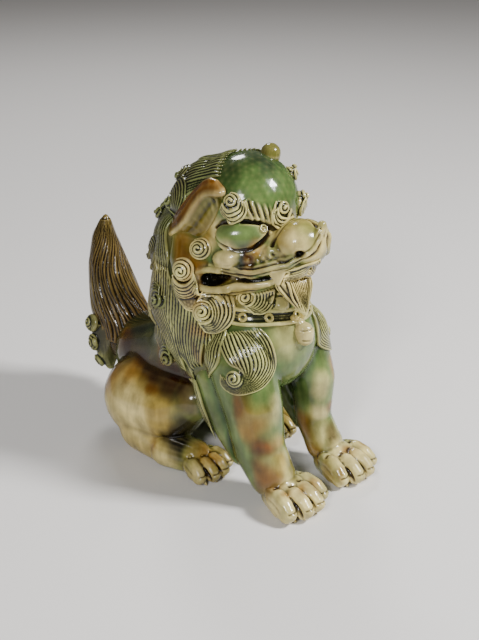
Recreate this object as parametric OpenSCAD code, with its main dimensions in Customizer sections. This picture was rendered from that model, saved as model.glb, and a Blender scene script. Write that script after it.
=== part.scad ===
// Seated guardian lion in glazed stoneware, built from the separate clay
// members that the potter forms and lutes together with slip.
// Millimetres, +Z up. The lion faces -Y, its right side is at -X.

/* [Body] */
// Radius of the rump that rests on the table
rump_r = 31; // [28:0.5:33]
// Radius of the chest
chest_r = 29; // [27:0.5:31]
// Wall of the hollow torso
wall = 4.5; // [3:0.5:6]
// Diameter of the firing vent under the belly
vent_d = 3.5; // [2:0.25:3.75]

/* [Head] */
// Turn of the head towards the lion's left, in degrees
head_turn = 8; // [0:1:15]
// How far the head looks up, in degrees
head_lift = 14; // [5:1:18]
// How far the crown leans towards the lion's left, in degrees
head_lean = 14; // [0:1:18]
// Half width of the skull
skull_r = 26; // [24:0.5:27]

/* [Legs] */
// Distance between the two forepaws, centre to centre
paw_gap = 43; // [40:0.5:48]
// Radius of a toe
toe_r = 5.2; // [4.6:0.1:5.6]

/* [Collar] */
// Radius of the collar ring, to the middle of its strap
collar_r = 29; // [28:0.5:31]
// Height of the collar strap
collar_h = 9; // [7:0.5:11]
// Radius of the bell
bell_r = 4.8; // [4:0.2:6]

/* [Hidden] */

// Brings the origin under the middle of the lion's length
middle = [0, -21.5, 0];
head_at = [2, 2, 138];  // middle of the skull
soft = 24;      // facets round a blended form
small = 16;     // facets round a small blended form

// ---------- shapes that repeat ----------

// A ball of clay: [x, y, z, radius]
module ball(b, fn = soft) translate([b[0], b[1], b[2]]) sphere(r = b[3], $fn = fn);

// One convex lump drawn over several balls
module lump(balls, fn = soft) hull() for (b = balls) ball(b, fn);

// A limb whose segments run from each ball to the next
module limb(balls, fn = soft)
  for (i = [0 : len(balls) - 2]) lump([balls[i], balls[i + 1]], fn);

// An egg of three radii, turned
module egg(at, radii, turn = [0, 0, 0], fn = soft)
  translate(at) rotate(turn) hull() scale(radii) sphere(r = 1, $fn = fn);

// Places a form in the head's own axes
module on_head() translate(head_at) rotate([0, 0, head_turn]) rotate([-head_lift, 0, 0])
  rotate([0, head_lean, 0]) children();

// The same form on the other side of the middle plane
module other_side() mirror([1, 0, 0]) children();

// A snail curl: a stepped cone with its point along +Z
module curl(r, high, turns = 3)
  rotate_extrude($fn = 48) polygon(concat([[0, -r * 0.4], [r * 0.8, -r * 0.4]],
    [for (i = [0 : turns - 1]) each [
      [r * (1 - i / turns), high * i / turns - 0.3],
      [r * (1 - (i + 0.7) / turns), high * (i + 0.9) / turns]]],
    [[0, high]]));

// A curl at a point, its axis turned away from the body
module curl_at(at, turn, r, high) translate(at) rotate(turn) curl(r, high);

// Keeps what is above the table
module above_table() difference() {
  children();
  translate([-200, -200, -100]) cube([400, 400, 100]);
}

// ---------- body ----------

// Rump to loin, loin to chest, and chest to neck; skin shrinks them for the hollow
module torso_lumps(skin = 0) {
  lump([[0, 52, 30, rump_r - skin], [0, 30, 56, 29 - skin], [0, 66, 42, 24 - skin]]);
  lump([[0, 30, 56, 29 - skin], [0, -10, 74, chest_r - skin], [0, 16, 84, 28 - skin]]);
  lump([[0, -13, 76, chest_r - skin], [0, 0, 100, 25 - skin]]);
}

module torso_shell() color("olivedrab") difference() {
  above_table() torso_lumps();
  torso_lumps(wall);
  translate([0, 48, -1]) cylinder(d = vent_d, h = 20, $fn = 32);
}

module right_foreleg() color("yellowgreen") above_table()
  limb([[-21, -18, 72, 18], [-23.5, -31, 50, 14.5], [-23, -35, 28, 12.5], [-21.5, -41, 12, 12]]);
// The left one is a little slimmer, as hand-rolled legs are
module left_foreleg() color("yellowgreen") above_table()
  limb([[21, -18, 72, 17], [22, -30, 50, 12.5], [20.5, -32, 28, 10], [21, -40, 12, 11]]);

// Four toes fan out from the wrist
toe_x = [-11.5, -4, 4, 11.5];
toe_y = [-12, -16, -16, -12];

module paw(turn = 0) above_table() rotate([0, 0, turn]) {
  lump([[0, 0, 6, 11], [-8, -8, 5.5, 7.5], [8, -8, 5.5, 7.5]]);
  for (i = [0 : 3]) lump([[toe_x[i] * 0.8, toe_y[i] + 10, 7.5, toe_r],
                          [toe_x[i], toe_y[i], 6, toe_r]], small);
}

// The claws stand on the toes' ends, pointing down and out
module claws(turn = 0) rotate([0, 0, turn]) for (i = [0 : 3])
  translate([toe_x[i] * 1.02, toe_y[i] - toe_r + 0.6, 4.6]) rotate([118, 0, 0])
    cylinder(r1 = 3.4, r2 = 1.6, h = 4, $fn = 32);

forepaw_at = [-paw_gap / 2, -47, 0];
module at_right_forepaw() translate(forepaw_at) children();
module at_left_forepaw() other_side() translate(forepaw_at) children();
module right_forepaw() color("khaki") at_right_forepaw() paw();
module left_forepaw() color("khaki") at_left_forepaw() paw();
module forepaw_claws() color("cornsilk") {
  at_right_forepaw() claws();
  at_left_forepaw() claws();
}

module thigh() above_table() {
  lump([[-21, 52, 27, 25], [-24, 30, 30, 20], [-25, 12, 40, 12]]);
  limb([[-27, 46, 13, 17], [-33, 24, 9, 12], [-29, 9, 8, 10]]);
}
module right_thigh() color("darkkhaki") thigh();
module left_thigh() color("darkkhaki") other_side() thigh();

hind_foot_at = [-28, 7, 0];
hind_scale = 0.9;
module at_right_hind() translate(hind_foot_at) scale(hind_scale) children();
module at_left_hind() other_side() translate(hind_foot_at) scale(hind_scale) children();
module right_hind_foot() color("tan") at_right_hind() paw();
module left_hind_foot() color("tan") at_left_hind() paw();
module hind_claws() color("cornsilk") {
  at_right_hind() claws();
  at_left_hind() claws();
}

// ---------- head ----------

module skull() color("forestgreen") on_head()
  hull() {
    ball([1, -3, 6, skull_r]);
    ball([0, 8, -8, skull_r - 2]);
    ball([0, 12, 6, skull_r - 2]);
  }

module muzzle() color("wheat") on_head()
  lump([[-15, 2, -22, 8], [15, 2, -22, 8], [-13, -18, -21, 8], [13, -18, -21, 8],
        [-5, -38, -18, 6], [5, -38, -18, 6], [0, -14, -12, 9]]);

module nose() color("palegoldenrod") on_head()
  hull() {
    egg([0, -34, -13], [13, 9, 8]);
    ball([0, -24, -10, 6], small);
  }

module upper_lip() color("burlywood") on_head() {
  for (s = [0, 1]) mirror([s, 0, 0])
    limb([[-20, 8, -27, 3.4], [-19, -8, -28, 3.6], [-16, -22, -27, 4], [-11, -34, -24, 4],
          [-7, -41, -20, 3.8], [-3, -44, -14, 3.4], [0, -45.5, -8, 3]], small);
}

module lower_jaw() color("darkkhaki") on_head()
  lump([[-16, 8, -33, 6.5], [16, 8, -33, 6.5], [-13, -16, -33, 6], [13, -16, -33, 6], [-5, -33, -30, 5], [5, -33, -30, 5]]);

module fangs() color("ivory") on_head() for (s = [-1, 1])
  translate([16 * s, -28, -23]) rotate([180, 0, 0]) cylinder(r1 = 3, r2 = 0.8, h = 9, $fn = 32);

module eye() on_head() egg([-17.5, -14, -7.5], [5, 12, 5.6], [0, 0, 38]);
module right_eye() color("mediumseagreen") eye();
module left_eye() color("mediumseagreen") on_head() other_side()
  egg([-17.5, -14, -7.5], [5, 12, 5.6], [0, 0, 38]);
module eye_pellets() color("black") on_head() for (s = [-1, 1])
  translate([s * 13.5, -23.6, -6]) sphere(r = 1.9, $fn = 32);

module ear() hull() {
  ball([-23, -2, 12, 5], small);
  ball([-29, 8, 6, 6], small);
  ball([-28, 31, -9, 2.5], small);
  ball([-26, 14, -2, 4], small);
}
module right_ear() color("peru") on_head() ear();
module left_ear() color("peru") on_head() other_side() ear();

module crown_knob() color("olive") on_head() translate([6, -15, 30]) sphere(r = 5, $fn = 48);

module right_brow_curl() color("honeydew") on_head() {
  curl_at([-19.5, -11, 5], [80, 0, -50], 6, 4.5);
  lump([[-20, -13, -1, 4.5], [-10, -19, 0, 4.5], [0, -20, -3, 4]], small);
}
module left_brow_curls() color("honeydew") on_head() {
  curl_at([11, -19, 5], [80, 0, 20], 6, 4.5);
  curl_at([22, -15, 7], [75, 0, 50], 5, 5);
  lump([[20, -13, -1, 4.5], [10, -19, 0, 4.5], [2, -20, -3, 4]], small);
}

// Two snail curls and the fan of hair that hangs under the hind one
module cheek_curls() {
  curl_at([-23, 5, -15], [90, 0, -82], 6.5, 4.5);
  curl_at([-24, 18, -23], [90, 0, -98], 8.5, 4.5);
  lump([[-21, 17, -26, 7.5], [-21, 22, -38, 5], [-22, 12, -38, 4]], small);
}
module right_cheek_curls() color("lemonchiffon") on_head() cheek_curls();
module left_cheek_curls() color("lemonchiffon") on_head() other_side() cheek_curls();

module jowl_curls() color("lemonchiffon") on_head() for (s = [0, 1]) mirror([s, 0, 0])
  curl_at([-23, 6, -46], [95, 0, -82], 11, 5);

// A curl under each side of the jaw, and the two pellets of clay between them
module chin_curls() color("palegoldenrod") on_head() for (s = [0, 1]) mirror([s, 0, 0]) {
  curl_at([-14, -18, -39], [115, 0, -35], 8, 3.5);
  ball([-7, -25, -43, 4.5], 32);
}

module beard() color("moccasin") on_head()
  hull() {
    ball([-7, -26, -33, 3.5], small);
    ball([7, -26, -33, 3.5], small);
    ball([0, -33, -50, 1.6], small);
  }

// ---------- mane ----------

module nape_mane() color("darkolivegreen")
  lump([[2, 20, 145, 19], [0, 30, 117, 24], [0, 34, 92, 20], [0, 16, 112, 28]]);

module mane_side()
  lump([[-20, 16, 128, 12], [-22, 24, 96, 12], [-27, 8, 60, 6], [-24, -6, 72, 9], [-18, 34, 84, 12]]);
module right_mane() color("olive") mane_side();
module left_mane() color("olive") other_side() mane_side();

// Hooked curls that end the locks down the back
nape_curl_at = [[-17, 32, 146], [17, 32, 146], [-22, 40, 122], [22, 40, 122], [-22, 43, 100],
  [22, 43, 100], [-20, 44, 78], [20, 44, 78], [0, 48, 134], [0, 52, 112], [0, 50, 88]];
module nape_curls() color("darkkhaki") for (p = nape_curl_at)
  translate(p) rotate([0, 0, atan2(p[1] - 18, p[0]) ]) rotate([0, 82, 0]) curl(6.5, 4);

module shoulder_lock() lump([[-25, -18, 90, 6], [-20, -36, 80, 6], [-24, -34, 68, 6], [-30, -24, 62, 6], [-31, -14, 74, 6]], small);
module right_shoulder_lock() color("honeydew") shoulder_lock();
module left_shoulder_lock() color("honeydew") lump([[27, -16, 90, 6], [30, -33, 85, 6], [29, -34, 78, 6],
  [27, -24, 66, 5], [30, -14, 76, 6]], small);

module elbow_tufts() color("darkseagreen") for (s = [0, 1]) mirror([s, 0, 0])
  limb([[-28, -2, 62, 7], [-29, -8, 44, 4.5], [-28, -14, 30, 1.5]], small);

// ---------- collar ----------

collar_at = [0, -9, 98.5];
collar_tilt = -6;
module on_collar() translate(collar_at) rotate([-collar_tilt, 0, 0]) children();

module collar() color("darkseagreen") on_collar() rotate_extrude($fn = 72)
  translate([collar_r - 1.5, -collar_h / 2]) square([3, collar_h]);

stud_turns = [-165, -140, -115, -65, -40, -15];
module collar_studs() color("greenyellow") on_collar() for (a = stud_turns)
  rotate([0, 0, a]) translate([collar_r + 1, 0, 0]) rotate([0, 90, 0])
    cylinder(r = 2.6, h = 2.2, $fn = 32);

module bell() color("cornsilk") translate([0, -45, 87]) rotate_extrude($fn = 48)
  difference() {
    circle(r = bell_r, $fn = 48);
    translate([-20, -20]) square([20, 40]);
    translate([bell_r - 1.5, -2]) square([4, 1]);
  }

// ---------- tail ----------

module tail_plume() color("sienna") {
  limb([[0, 86, 44, 16], [0, 98, 62, 15], [0, 104, 84, 11], [0, 106, 100, 7], [0, 104, 113, 2.5]]);
}
module tail_tuft() lump([[-8, 92, 50, 9], [-13, 102, 52, 7], [-15, 96, 36, 7], [-14, 95, 25, 3]], small);
module right_tail_tuft() color("darkgreen") tail_tuft();
module left_tail_tuft() color("darkgreen") other_side() tail_tuft();

// ---------- what is drawn ----------

translate(middle) torso_shell();
translate(middle) right_foreleg();
translate(middle) left_foreleg();
translate(middle) right_forepaw();
translate(middle) left_forepaw();
translate(middle) forepaw_claws();
translate(middle) right_thigh();
translate(middle) left_thigh();
translate(middle) right_hind_foot();
translate(middle) left_hind_foot();
translate(middle) hind_claws();
translate(middle) skull();
translate(middle) muzzle();
translate(middle) nose();
translate(middle) upper_lip();
translate(middle) lower_jaw();
translate(middle) fangs();
translate(middle) right_eye();
translate(middle) left_eye();
translate(middle) eye_pellets();
translate(middle) right_ear();
translate(middle) left_ear();
translate(middle) crown_knob();
translate(middle) right_brow_curl();
translate(middle) left_brow_curls();
translate(middle) right_cheek_curls();
translate(middle) left_cheek_curls();
translate(middle) jowl_curls();
translate(middle) chin_curls();
translate(middle) beard();
translate(middle) nape_mane();
translate(middle) right_mane();
translate(middle) left_mane();
translate(middle) nape_curls();
translate(middle) right_shoulder_lock();
translate(middle) left_shoulder_lock();
translate(middle) elbow_tufts();
translate(middle) collar();
translate(middle) collar_studs();
translate(middle) bell();
translate(middle) tail_plume();
translate(middle) right_tail_tuft();
translate(middle) left_tail_tuft();
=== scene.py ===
# %% [markdown]
# # A seated guardian lion in three-colour glaze
# The figure is hand-built stoneware: smooth rolled legs and body, a pinched face, and hair that is
# combed into the wet clay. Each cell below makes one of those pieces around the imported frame.

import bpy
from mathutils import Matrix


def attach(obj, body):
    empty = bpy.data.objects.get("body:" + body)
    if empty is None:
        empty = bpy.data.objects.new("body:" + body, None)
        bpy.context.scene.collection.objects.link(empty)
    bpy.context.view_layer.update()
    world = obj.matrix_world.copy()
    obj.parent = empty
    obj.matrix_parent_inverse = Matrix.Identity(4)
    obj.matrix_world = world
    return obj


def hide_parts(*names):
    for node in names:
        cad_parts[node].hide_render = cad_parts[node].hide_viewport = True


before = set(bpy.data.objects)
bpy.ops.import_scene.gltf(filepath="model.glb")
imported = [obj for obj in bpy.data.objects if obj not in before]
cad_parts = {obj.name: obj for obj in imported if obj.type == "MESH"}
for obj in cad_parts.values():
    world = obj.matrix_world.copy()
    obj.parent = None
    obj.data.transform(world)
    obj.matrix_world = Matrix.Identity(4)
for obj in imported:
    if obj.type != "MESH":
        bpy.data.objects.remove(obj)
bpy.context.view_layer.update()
print("nodes in the frame:", len(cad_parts))

# %% Tools and units
import math

import bmesh
import bpy
import numpy as np
from mathutils import Euler, Matrix, Vector
from mathutils.bvhtree import BVHTree

MM = 0.001                              # everything below is modelled in millimetres
MIDDLE = Vector((0.0, -21.5, 0.0))      # from the modelling origin to the middle of the base
SKIN_GRAIN, FACE_GRAIN, PAW_GRAIN = 1.05, 0.525, 0.54  # cell sizes of the remeshed clay
HAIR_GRAIN, CROWN_GRAIN, PLUME_GRAIN, CURL_GRAIN = 0.38, 0.39, 0.36, 0.34
EAR_GRAIN, SMALL_GRAIN, PAD_GRAIN = 0.5, 0.35, 1.0
COMB_STEP, COMB_TAPER = 1.1, 5.0        # spacing of points along a strand, length of its tip

# %% [markdown]
# ## Clay
# A potter starts from balls and coils pressed together. Here a ball is an icosphere, a lump is the
# convex skin over several balls, and all of them are melted into one closed surface by a voxel
# remesh and a few rounds of smoothing, which leaves the soft fillets that a wet sponge leaves.

# %% Balls, lumps and limbs
def ball(bm, at, r, stretch=(1, 1, 1), turn=(0, 0, 0), fine=3, place=None):
    m = Matrix.Translation(at) @ Euler([math.radians(a) for a in turn]).to_matrix().to_4x4()
    m = m @ Matrix.Diagonal((*stretch, 1))
    if place is not None:
        m = place @ m
    bmesh.ops.create_icosphere(bm, subdivisions=fine, radius=r, matrix=m)


def lump(bm, balls, place=None):
    """The taut skin over several balls, each given as x, y, z and radius."""
    part = bmesh.new()
    for x, y, z, r in balls:
        ball(part, (x, y, z), r, fine=3 if r > 4 else 2, place=place)
    hull = bmesh.ops.convex_hull(part, input=part.verts)
    spare = {v for k in ("geom_interior", "geom_unused") for v in hull[k]
             if isinstance(v, bmesh.types.BMVert)}
    bmesh.ops.delete(part, geom=list(spare), context="VERTS")
    add(bm, part)


def add(bm, part):
    me = bpy.data.meshes.new("part")
    part.to_mesh(me)
    part.free()
    bm.from_mesh(me)
    bpy.data.meshes.remove(me)


def limb(bm, balls, place=None):
    """A coil that tapers from ball to ball."""
    for a, b in zip(balls, balls[1:]):
        lump(bm, [a, b], place)


def mirrored(balls):
    return [(-x, y, z, r) for x, y, z, r in balls]


# %% Melting clay into one skin
def melt(name, bm, grain, rounds, factor=0.5):
    """Fuses everything in bm into one closed skin with cells of about grain millimetres."""
    me = bpy.data.meshes.new(name)
    bmesh.ops.recalc_face_normals(bm, faces=bm.faces)
    bm.to_mesh(me)
    bm.free()
    obj = bpy.data.objects.new(name, me)
    bpy.context.scene.collection.objects.link(obj)
    mod = obj.modifiers.new("remesh", "REMESH")
    mod.mode, mod.voxel_size, mod.use_smooth_shade = "VOXEL", grain, True
    if rounds:
        soft = obj.modifiers.new("soften", "SMOOTH")
        soft.factor, soft.iterations = factor, rounds
    settle(obj)
    print(f"{name}: {len(obj.data.polygons)} faces")
    return obj


def settle(obj):
    """Applies the modifiers by taking the finished mesh."""
    graph = bpy.context.evaluated_depsgraph_get()
    done = bpy.data.meshes.new_from_object(obj.evaluated_get(graph))
    obj.modifiers.clear()
    old, obj.data = obj.data, done
    bpy.data.meshes.remove(old)


def points(me):
    co = np.empty(len(me.vertices) * 3)
    me.vertices.foreach_get("co", co)
    return co.reshape(-1, 3)


def normals(me):
    no = np.empty(len(me.vertices) * 3)
    me.vertex_normals.foreach_get("vector", no)
    return no.reshape(-1, 3)


def put_points(me, co):
    me.vertices.foreach_set("co", co.ravel())
    me.update()


# %% [markdown]
# ## The head's own axes
# The head is modelled straight and then turned, lifted and leaned as one, the way the potter sets a
# finished head on the neck.

# %% Head axes
HEAD = (Matrix.Translation((2, 2, 138)) @ Matrix.Rotation(math.radians(8), 4, "Z")
        @ Matrix.Rotation(math.radians(-14), 4, "X") @ Matrix.Rotation(math.radians(14), 4, "Y"))
HEAD_np = np.array(HEAD)
HEAD_inv = np.linalg.inv(HEAD_np)


def from_head(p):
    p = np.atleast_2d(np.asarray(p, float))
    return p @ HEAD_np[:3, :3].T + HEAD_np[:3, 3]


print("middle of the head, mm:", [round(v, 1) for v in HEAD.translation])


# %% [markdown]
# ## Trunk, legs and haunches
# The trunk of the real figure is one hollow hump, with the legs and the folded hind legs luted on.
# It could be thrown and bent, pressed in a mould or coiled. Here each limb is a chain of balls that
# taper, the haunch is a hull over three balls, and one skin over them all hides the slip joints.

# %% Body
bm = bmesh.new()
lump(bm, [(0, 52, 30, 30.5), (0, 30, 56, 28.5), (0, 66, 42, 23.5)])
lump(bm, [(0, 30, 56, 28.5), (0, -10, 74, 28.5), (0, 16, 84, 27.5)])
lump(bm, [(0, -13, 76, 28.5), (0, 0, 100, 24.5)])
R_LEG = [(-21, -18, 72, 17.5), (-24, -28.5, 50, 15.3), (-23.5, -32.5, 28, 13.4), (-22, -40, 14, 12)]
L_LEG = [(21, -18, 72, 16.5), (22, -30, 50, 12), (20.5, -32, 28, 9.7), (21, -40, 14, 10)]
limb(bm, R_LEG)
limb(bm, L_LEG)
THIGH = [(-21, 52, 27, 24.5), (-24, 30, 30, 19.5), (-25, 12, 40, 11.5)]
SHIN = [(-27, 46, 13, 16.5), (-32, 24, 8.6, 10.3), (-29, 9, 8, 9.5)]
ELBOW = [(-24, -3, 58, 10.5), (-24, -6, 44, 9.5), (-25, -14, 31, 7.5), (-25, -22, 20, 6)]
for side in (lambda b: b, mirrored):
    lump(bm, side(THIGH))
    limb(bm, side(SHIN))
    limb(bm, side(ELBOW))
body = melt("body", bm, SKIN_GRAIN, 14)

# %% [markdown]
# ## Thumb and tool strokes
# The fine shape of a face or a paw is pushed and cut into the leather-hard clay. A stroke here runs
# along a smooth path and moves each point of the skin in or out along its own normal, most under
# the path and less beside it. It was chosen over booleans because its edges stay soft.

# %% Strokes along a path
def smooth_path(ctrl, n):
    """n points on a smooth path through the control points."""
    c = np.array([tuple(p) for p in ctrl], float)
    if len(c) == 2:
        return c[0] + np.linspace(0, 1, n)[:, None] * (c[1] - c[0])
    c = np.vstack([2 * c[0] - c[1], c, 2 * c[-1] - c[-2]])
    t = np.linspace(0, len(c) - 3 - 1e-6, n)
    i = t.astype(int)
    f = (t - i)[:, None]
    p0, p1, p2, p3 = c[i], c[i + 1], c[i + 2], c[i + 3]
    return 0.5 * (2 * p1 + (p2 - p0) * f + (2 * p0 - 5 * p1 + 4 * p2 - p3) * f ** 2
                  + (3 * p1 - p0 - 3 * p2 + p3) * f ** 3)


def stroke(co, no, path, width, depth):
    """Pushes the clay out (or in, below zero) along a line, as a thumb or a tool does."""
    p = np.array(path, float)
    w = np.full(len(p), width, float) if np.ndim(width) == 0 else np.array(width, float)
    if len(p) > 1:
        n = max(8, int(np.linalg.norm(np.diff(p, axis=0), axis=1).sum() / (0.4 * w.min())))
        p, w = smooth_path(p, n), np.interp(np.linspace(0, 1, n), np.linspace(0, 1, len(w)), w)
    box = (co > p.min(0) - 3 * w.max()).all(1) & (co < p.max(0) + 3 * w.max()).all(1)
    near = np.full(box.sum(), 1e9)
    for q, ww in zip(p, w):
        near = np.minimum(near, np.linalg.norm(co[box] - q, axis=1) / ww)
    co[box] += no[box] * (depth * np.exp(-near ** 2))[:, None]


# %% [markdown]
# ## Paws
# Each paw is a flat pad with four round toes and a wrist. The toes could be four separate balls, but
# they are one piece of clay with three cuts between them, so each toe is a short bent limb melted
# into the pad, then cut apart with strokes. The same paw, a little smaller, makes the hind feet.

# %% Paws
TOES = [(-11.5, -12), (-4, -16), (4, -16), (11.5, -12)]


def paw(name, at, size, flip, leg):
    place = Matrix.Translation(at) @ Matrix.Diagonal((size * flip, size, size, 1))
    bm = bmesh.new()
    lump(bm, [(0, 1, 6, 10), (-8, -7, 5.2, 6.2), (8, -7, 5.2, 6.2)], place)
    for x, y in TOES:
        lump(bm, [(x * 0.8, y + 10, 7.5, 4.0), (x, y, 4.4, 4.0)], place)
        limb(bm, [(x * 0.75, y + 12, 9.6, 3.4), (x * 0.85, y + 6.5, 10.2, 3.9),
                  (x * 0.95, y + 2, 8.6, 3.8), (x, y - 1.5, 5.6, 3.6)], place)
    limb(bm, leg)
    made = melt(name, bm, PAW_GRAIN, 4)
    co, no = points(made.data), normals(made.data)
    before = co.copy()

    def cut(path, width, depth):
        stroke(co, no, [tuple(place @ Vector(p)) for p in path], width, depth)

    for (x0, y0), (x1, y1) in zip(TOES[:-1], TOES[1:]):
        x, y = (x0 + x1) / 2, (y0 + y1) / 2
        cut([(x * 0.8, y + 9, 11), (x * 0.9, y + 4, 10), (x, y - 1, 7.5), (x * 1.02, y - 3.5, 4),
             (x * 1.02, y - 3.5, 1)], 0.85, -1.5)
    for x, y in TOES:
        cut([(x * 0.8, y + 9.5, 13.4), (x * 0.8 + 1.8, y + 9.2, 12.8)], 1.0, -0.8)
        cut([(x - 2.6, y - 3.2, 7.2), (x, y - 4.4, 7.6), (x + 2.6, y - 3.2, 7.2)], 0.6, -0.7)
    put_points(made.data, co)
    return made, ((co - before) * no).sum(1)


PAW = (-21.5, -47, 0)
right_paw, right_paw_cuts = paw("right_paw", PAW, 1.1, 1, [(-23, -35.5, 26, 10.8), (-21.5, -41, 14, 11.1)])
left_paw, left_paw_cuts = paw("left_paw", (21.5, -47, 0), 1.08, -1,
                              [(20.5, -32.5, 26, 8.8), (21, -40, 14, 10.2)])
right_foot, right_foot_cuts = paw("right_foot", (-28, 7, 0), 0.9, 1, [(-33, 24, 9, 10.5), (-29, 9, 8, 9.6)])
left_foot, left_foot_cuts = paw("left_foot", (28, 7, 0), 0.9, -1, [(33, 24, 9, 10.5), (29, 9, 8, 9.6)])

# %% [markdown]
# ## Head
# The face is skull, muzzle, a bulb nose, a rolled upper lip, a jaw that hangs open, two almond eyes
# and a round cheekbone under each. They are built up from lumps as pellets of clay would be, melted
# together, and then drawn with strokes: lips, eyelids, nostril and the ridges of the brow. The cuts
# are kept, because they steer the colour: glaze pooled dark in them plus painted shade, and pale
# glaze plus a painted highlight on the raised lines.

# %% Head
LIP = [(-20.5, 8, -26.5, 3.0), (-20, -8, -27.5, 3.0), (-17, -22, -26.5, 3.2), (-12, -33.5, -24, 3.2),
       (-8, -41, -19.5, 3), (-3.5, -45.5, -13, 2.6), (0, -46.5, -7, 2.3)]
bm = bmesh.new()
ball(bm, (1, -3, 6), 25.8, place=HEAD, fine=4)
lump(bm, [(1, -3, 6, 25), (0, 8, -8, 23.5), (0, 12, 6, 23.5)], HEAD)
lump(bm, [(-13, 4, -20, 9.5), (13, 4, -20, 9.5), (-12, -15, -20, 9), (12, -15, -20, 9),
          (0, -14, -8, 11)], HEAD)
lump(bm, [(-10, -18, -20, 8.5), (10, -18, -20, 8.5), (-4.5, -35, -18, 7.5), (4.5, -35, -18, 7.5),
          (0, -32, -12, 8)], HEAD)
ball(bm, (0.5, -34.5, -15), 1, (15.6, 13, 11.8), (8, 0, 0), place=HEAD, fine=4)
lump(bm, [(0, -27, -9, 7), (0, -16, -3, 6)], HEAD)
for s in (-1, 1):
    lump(bm, [(14 * s, 8, -10, 10), (13.5 * s, 15, -22, 9.5), (13 * s, 15, -31, 8),
              (12.5 * s, -4, -22, 9)], HEAD)
    lump(bm, [(19.5 * s, 20, -11, 8.5), (20 * s, 21, -20, 9), (19 * s, 21, -33, 8), (14.5 * s, 7, -16, 9),
              (14.5 * s, 8, -22, 8.8), (13 * s, 10, -33, 7.5)], HEAD)
    lump(bm, [(16.5 * s, 13, -30.5, 5.5), (17 * s, 5, -30.5, 4.5), (16.5 * s, -4, -31, 4)], HEAD)
    limb(bm, [(21.5 * s, -3, -27, 1.8), (21.8 * s, 5, -26.2, 2.2), (21.8 * s, 11.5, -26.6, 2.4),
              (21.8 * s, 14.5, -30.4, 2.5), (21.8 * s, 12.4, -34, 2.4), (21.5 * s, 5, -35.8, 2.2),
              (21.5 * s, -4, -36.2, 2.2)], HEAD)
lump(bm, [(-13, 8, -30, 7.5), (13, 8, -30, 7.5), (-12, -14, -31, 7.5), (12, -14, -31, 7.5),
          (-4, -32, -26, 6), (4, -32, -26, 6)], HEAD)
for s in (-1, 1):
    ball(bm, (-17.4 * s, -12.5, -9.8), 1, (6.9, 14, 8.6), (0, 0, 38 * s), place=HEAD, fine=4)
    limb(bm, [(x * -s, y, z, r) for x, y, z, r in LIP], HEAD)
    lump(bm, [(-20 * s, -12, -0.5, 5), (-11 * s, -18.5, 0.5, 5), (-2 * s, -21, -2, 4.5)], HEAD)
    ball(bm, (-19.8 * s, -5, -20.6), 1, (6, 8.8, 4.9), (0, 0, 16 * s), place=HEAD)
    limb(bm, [(-19.5 * s, 8, -26.5, 3.2), (-18.5 * s, 12.5, -30.5, 3.6), (-18.5 * s, 10, -34.5, 3.4)], HEAD)
    ball(bm, (-14 * s, -26, -18.5), 1, (3.6, 4.4, 3.4), place=HEAD)
    limb(bm, [(19 * s, 10, -33.5, 3.4), (18.5 * s, -5, -35.5, 3.4), (16 * s, -17, -34.5, 3.2),
              (11 * s, -27, -31, 2.8)], HEAD)
head = melt("head", bm, FACE_GRAIN, 4)
co, no = points(head.data), normals(head.data)
marks = np.zeros(len(co))


def face(path, width, depth, sides=(1, -1)):
    """The same stroke on both sides of the face. The marks it leaves also steer the colour: pooled glaze and
    painted shade in the cuts, pale glaze and a painted highlight on the raised lines.
    """
    before = co.copy()
    for flip in sides:
        stroke(co, no, [tuple(from_head((x * flip, y, z))[0]) for x, y, z in path], width, depth)
    marks[:] += ((co - before) * no).sum(1)


def between(a, b):
    """The line half way between two others."""
    n = max(len(a), len(b)) * 2
    return [tuple(p) for p in smooth_path(a, n) * 0.5 + smooth_path(b, n) * 0.5]


LIP_TOP = [(-22.5, 5, -23.5), (-23, -3, -24), (-22.5, -9, -25.5), (-22, -13, -27), (-20.5, -18.5, -28),
           (-19.5, -24, -27), (-17.5, -28.5, -26), (-15, -34, -25), (-11.5, -39, -23), (-9, -43, -20.5),
           (-6, -45.5, -17), (-4, -48, -12.5), (-3.5, -47.5, -9)]
LIP_MID = [(-22.5, 5, -25.5), (-23, -1, -26.5), (-23, -7, -28), (-21.5, -12.5, -29), (-19.5, -18, -30),
           (-18.5, -23, -29), (-16.5, -28, -28), (-13.5, -33, -27), (-9, -37.5, -25.5)]
MOUTH = [(-21.5, 8, -30.4), (-21.5, 4, -30.2), (-21.5, -2, -30), (-22, -6.5, -30.5), (-20, -10.5, -31.2),
         (-18.5, -17, -32), (-16, -22.5, -31.3), (-13, -28.5, -30), (-9.5, -33.5, -28.5), (-4, -37.5, -26.5)]
JAW = [(-21, 12, -37), (-20.5, 6, -38.5), (-21.5, -2.5, -38.8), (-20.5, -9, -38.8), (-18.5, -15.5, -38),
       (-13.5, -21, -37.5), (-10, -26, -36)]
face(MOUTH, [2.4, 2.6, 1.7, 1.2, 0.9, 0.8, 0.8, 0.8, 0.8, 0.8], -2.6)
face([(-21.5, 8.5, -30.5), (-21.5, 5.5, -30.4), (-21.5, 2, -30.1), (-21.5, -2, -30)],
     [2.0, 2.4, 2.0, 1.2], -5.0)
face([(-23, 0, -26.6), (-23.5, 6.7, -25.9), (-23.8, 12, -26.8), (-24, 14.3, -30.4), (-23.5, 12.4, -34),
      (-23, 6, -35.6), (-22.5, -2, -35.6), (-20.5, -9, -33.8), (-19, -16, -34), (-15.5, -24, -33.5)],
     1.5, 1.5)
face(LIP_TOP, 0.9, 1.0)
face(LIP_MID, 0.6, -1.1)
face([(x, y, z + 1.9) for x, y, z in LIP_TOP[3:]], 0.7, -1.1)
face(between(LIP_MID[3:], MOUTH[4:9]), 0.7, 0.8)
face(JAW, 1.3, -1.8)
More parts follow.
